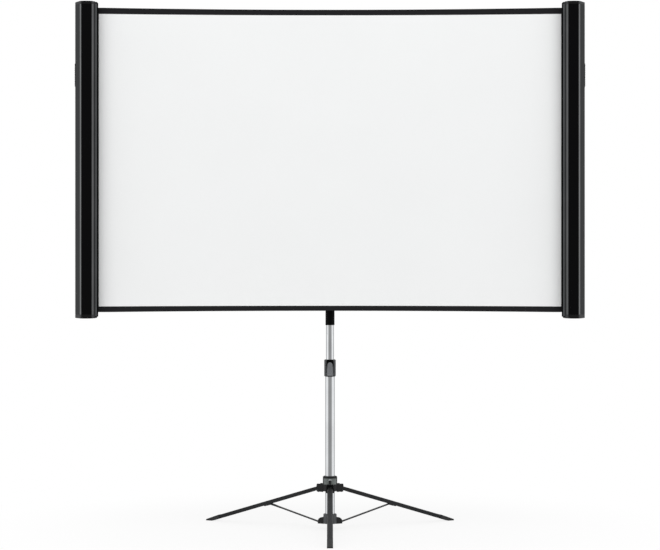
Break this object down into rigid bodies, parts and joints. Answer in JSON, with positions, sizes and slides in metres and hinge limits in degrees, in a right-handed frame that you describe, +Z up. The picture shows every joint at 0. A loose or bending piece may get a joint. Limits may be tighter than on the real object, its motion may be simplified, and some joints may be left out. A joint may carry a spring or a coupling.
{
  "type": "projection screen",
  "caption": "Free-standing pull-out projection screen: cloth between two roller casings, scissor frame behind, telescopic pole and folding tripod.",
  "frame": {"origin": "on the floor, at the centre of the floor area that the screen takes up when it is set up", "axes": "+Z up, -Y towards the viewer of the picture, +X to that viewer's right"},
  "size_m": [1.895, 0.8404, 1.9647],
  "materials": {
    "chrome": "polished",
    "steel": "satin",
    "casing_grey": "satin dark grey coat",
    "gloss_black": "glossy",
    "cap_grey": "fine matt",
    "rail_grey": "satin",
    "grip_black": "matt",
    "cloth_white": "matt white, with black borders above and below",
    "black_plastic": "fine matt",
    "post_black": "black satin coat",
    "lever_grey": "satin",
    "leg_grey": "satin dark grey paint",
    "cover_grey": "fine matt",
    "foot_rubber": "matt",
    "arm_black": "black satin coat",
    "nylon": "matt",
    "roller_aluminium": "mill"
  },
  "bodies": {
    "tripod": {"lower_pole_tube": "chrome", "lower_hub": "black_plastic", "clamp_collar": "leg_grey", "clamp_bush": "black_plastic", "clamp_lever_pin": "steel"},
    "clamp_lever": {"clamp_lever": "lever_grey"},
    "brace_front": {"brace_front": "leg_grey"},
    "brace_right": {"brace_right": "leg_grey"},
    "brace_left": {"brace_left": "leg_grey"},
    "leg_front": {"leg_front": "leg_grey", "foot_front": "foot_rubber"},
    "leg_right": {"leg_right": "leg_grey", "foot_right": "foot_rubber"},
    "leg_left": {"leg_left": "leg_grey", "foot_left": "foot_rubber"},
    "leg_hub": {"leg_hub": "black_plastic", "hub_cover": "cover_grey", "button_hood": "chrome", "leg_pin_front": "steel", "leg_pin_right": "steel", "leg_pin_left": "steel"},
    "leg_lock_button": {"leg_lock_button": "grip_black"},
    "mast": {"upper_pole_tube": "chrome", "mast_guide_bush": "nylon"},
    "support": {"support_post": "post_black", "post_head": "black_plastic", "screen_fabric": "cloth_white"},
    "post_slider": {"post_slider": "nylon"},
    "right_inner_arm_down": {"right_inner_arm_down": "arm_black"},
    "right_inner_arm_up": {"right_inner_arm_up": "arm_black"},
    "right_outer_arm_down": {"right_outer_arm_down": "arm_black"},
    "right_outer_arm_up": {"right_outer_arm_up": "arm_black"},
    "left_inner_arm_down": {"left_inner_arm_down": "arm_black"},
    "left_inner_arm_up": {"left_inner_arm_up": "arm_black"},
    "left_outer_arm_down": {"left_outer_arm_down": "arm_black"},
    "left_outer_arm_up": {"left_outer_arm_up": "arm_black"},
    "right_rear_shoe": {"right_rear_shoe": "nylon"},
    "left_rear_shoe": {"left_rear_shoe": "nylon"},
    "right_casing": {"right_casing_shell": "casing_grey", "right_front_strip": "gloss_black", "right_top_cap": "cap_grey", "right_bottom_cap": "cap_grey", "right_inner_rail": "rail_grey", "right_pull_grip": "grip_black", "right_casing_pivot": "black_plastic"},
    "left_casing": {"left_casing_shell": "casing_grey", "left_front_strip": "gloss_black", "left_top_cap": "cap_grey", "left_bottom_cap": "cap_grey", "left_inner_rail": "rail_grey", "left_pull_grip": "grip_black", "left_casing_pivot": "black_plastic"},
    "right_roller": {"right_roller_tube": "roller_aluminium", "right_fabric_roll": "cloth_white"},
    "left_roller": {"left_roller_tube": "roller_aluminium", "left_fabric_roll": "cloth_white"}
  },
  "joints": [
    {"name": "screen_spread", "type": "slide", "parent": "support", "child": "right_casing", "axis": [-1, 0, 0], "range_m": [0, 0.8605], "deforming": ["screen_fabric"]},
    {"name": "left_casing_slide", "type": "slide", "parent": "support", "child": "left_casing", "axis": [1, 0, 0], "range_m": [0, 0.8606]},
    {"name": "right_roller_spin", "type": "hinge", "parent": "right_casing", "child": "right_roller", "pos_m": [0.905, 0.06542, 1.37767], "axis": [0, 0, 1], "continuous": true},
    {"name": "left_roller_spin", "type": "hinge", "parent": "left_casing", "child": "left_roller", "pos_m": [-0.905, 0.06542, 1.37767], "axis": [0, 0, 1], "continuous": true},
    {"name": "right_inner_down_pivot", "type": "hinge", "parent": "support", "child": "right_inner_arm_down", "pos_m": [0, 0.107, 1.90467], "axis": [0, 1, 0], "range_deg": [0, 23.4]},
    {"name": "right_inner_cross", "type": "hinge", "parent": "right_inner_arm_down", "child": "right_inner_arm_up", "pos_m": [0.2255, 0.107, 1.40851], "axis": [0, 1, 0], "range_deg": [-46.8, 0]},
    {"name": "right_top_link", "type": "hinge", "parent": "right_inner_arm_up", "child": "right_outer_arm_down", "pos_m": [0.451, 0.107, 1.90467], "axis": [0, 1, 0], "range_deg": [0, 46.8]},
    {"name": "right_outer_cross", "type": "hinge", "parent": "right_outer_arm_down", "child": "right_outer_arm_up", "pos_m": [0.6765, 0.107, 1.40851], "axis": [0, 1, 0], "range_deg": [-46.8, 0]},
    {"name": "post_slider_pivot", "type": "hinge", "parent": "right_inner_arm_up", "child": "post_slider", "pos_m": [0, 0.107, 0.91235], "axis": [0, 1, 0], "range_deg": [0, 23.4]},
    {"name": "right_shoe_pivot", "type": "hinge", "parent": "right_outer_arm_down", "child": "right_rear_shoe", "pos_m": [0.902, 0.107, 0.91235], "axis": [0, 1, 0], "range_deg": [-23.4, 0]},
    {"name": "left_inner_down_pivot", "type": "hinge", "parent": "support", "child": "left_inner_arm_down", "pos_m": [0, 0.107, 1.90467], "axis": [0, -1, 0], "range_deg": [0, 23.4]},
    {"name": "left_inner_cross", "type": "hinge", "parent": "left_inner_arm_down", "child": "left_inner_arm_up", "pos_m": [-0.2255, 0.107, 1.40851], "axis": [0, -1, 0], "range_deg": [-46.8, 0]},
    {"name": "left_top_link", "type": "hinge", "parent": "left_inner_arm_up", "child": "left_outer_arm_down", "pos_m": [-0.451, 0.107, 1.90467], "axis": [0, -1, 0], "range_deg": [0, 46.8]},
    {"name": "left_outer_cross", "type": "hinge", "parent": "left_outer_arm_down", "child": "left_outer_arm_up", "pos_m": [-0.6765, 0.107, 1.40851], "axis": [0, -1, 0], "range_deg": [-46.8, 0]},
    {"name": "left_shoe_pivot", "type": "hinge", "parent": "left_outer_arm_down", "child": "left_rear_shoe", "pos_m": [-0.902, 0.107, 0.91235], "axis": [0, -1, 0], "range_deg": [-23.4, 0]},
    {"name": "screen_turn", "type": "hinge", "parent": "mast", "child": "support", "pos_m": [0, 0.13342, 0.79], "axis": [0, 0, 1], "range_deg": [-180, 180]},
    {"name": "pole_height", "type": "slide", "parent": "tripod", "child": "mast", "axis": [0, 0, 1], "range_m": [-0.125, 0.36]},
    {"name": "clamp_lever_flip", "type": "hinge", "parent": "tripod", "child": "clamp_lever", "pos_m": [0, 0.10242, 0.57817], "axis": [1, 0, 0], "range_deg": [0, 90]},
    {"name": "leg_fold", "type": "hinge", "parent": "brace_front", "child": "leg_front", "pos_m": [0, -0.14254, 0.08355], "axis": [1, 0, 0], "range_deg": [0, 140]},
    {"name": "brace_front_hinge", "type": "hinge", "parent": "tripod", "child": "brace_front", "pos_m": [0, 0.08892, 0.02357], "axis": [1, 0, 0], "range_deg": [-70.1, 0]},
    {"name": "brace_right_hinge", "type": "hinge", "parent": "tripod", "child": "brace_right", "pos_m": [0.03854, 0.15567, 0.02357], "axis": [-0.5, 0.866, 0], "range_deg": [-70.1, 0]},
    {"name": "brace_left_hinge", "type": "hinge", "parent": "tripod", "child": "brace_left", "pos_m": [-0.03854, 0.15567, 0.02357], "axis": [-0.5, -0.866, 0], "range_deg": [-70.1, 0]},
    {"name": "leg_front_hinge", "type": "hinge", "parent": "leg_front", "child": "leg_hub", "pos_m": [0, 0.08892, 0.14353], "axis": [1, 0, 0], "range_deg": [-70.1, 0]},
    {"name": "leg_right_hinge", "type": "hinge", "parent": "leg_hub", "child": "leg_right", "pos_m": [0.03854, 0.15567, 0.14353], "axis": [-0.5, 0.866, 0], "range_deg": [0, 70.1]},
    {"name": "leg_left_hinge", "type": "hinge", "parent": "leg_hub", "child": "leg_left", "pos_m": [-0.03854, 0.15567, 0.14353], "axis": [-0.5, -0.866, 0], "range_deg": [0, 70.1]},
    {"name": "leg_lock_press", "type": "slide", "parent": "leg_hub", "child": "leg_lock_button", "axis": [0, 1, 0], "range_m": [0, 0.003], "stiffness_N_per_m": 800, "springref_m": -0.002}
  ],
  "couplings": [
    {"joint": "left_casing_slide", "follows": "screen_spread", "ratio": 1},
    {"joint": "right_roller_spin", "follows": "screen_spread", "rad_per_m": -76.923},
    {"joint": "left_roller_spin", "follows": "screen_spread", "rad_per_m": 76.923},
    {"joint": "right_inner_down_pivot", "follows": "screen_spread", "rad_per_m": 0.47361},
    {"joint": "right_inner_cross", "follows": "screen_spread", "rad_per_m": -0.94723},
    {"joint": "right_top_link", "follows": "screen_spread", "rad_per_m": 0.94723},
    {"joint": "right_outer_cross", "follows": "screen_spread", "rad_per_m": -0.94723},
    {"joint": "post_slider_pivot", "follows": "screen_spread", "rad_per_m": 0.47361},
    {"joint": "right_shoe_pivot", "follows": "screen_spread", "rad_per_m": -0.47361},
    {"joint": "left_inner_down_pivot", "follows": "screen_spread", "rad_per_m": 0.47361},
    {"joint": "left_inner_cross", "follows": "screen_spread", "rad_per_m": -0.94723},
    {"joint": "left_top_link", "follows": "screen_spread", "rad_per_m": 0.94723},
    {"joint": "left_outer_cross", "follows": "screen_spread", "rad_per_m": -0.94723},
    {"joint": "left_shoe_pivot", "follows": "screen_spread", "rad_per_m": -0.47361},
    {"joint": "brace_front_hinge", "follows": "leg_fold", "ratio": -0.5},
    {"joint": "brace_right_hinge", "follows": "leg_fold", "ratio": -0.5},
    {"joint": "brace_left_hinge", "follows": "leg_fold", "ratio": -0.5},
    {"joint": "leg_front_hinge", "follows": "leg_fold", "ratio": -0.5},
    {"joint": "leg_right_hinge", "follows": "leg_fold", "ratio": 0.5},
    {"joint": "leg_left_hinge", "follows": "leg_fold", "ratio": 0.5}
  ]
}
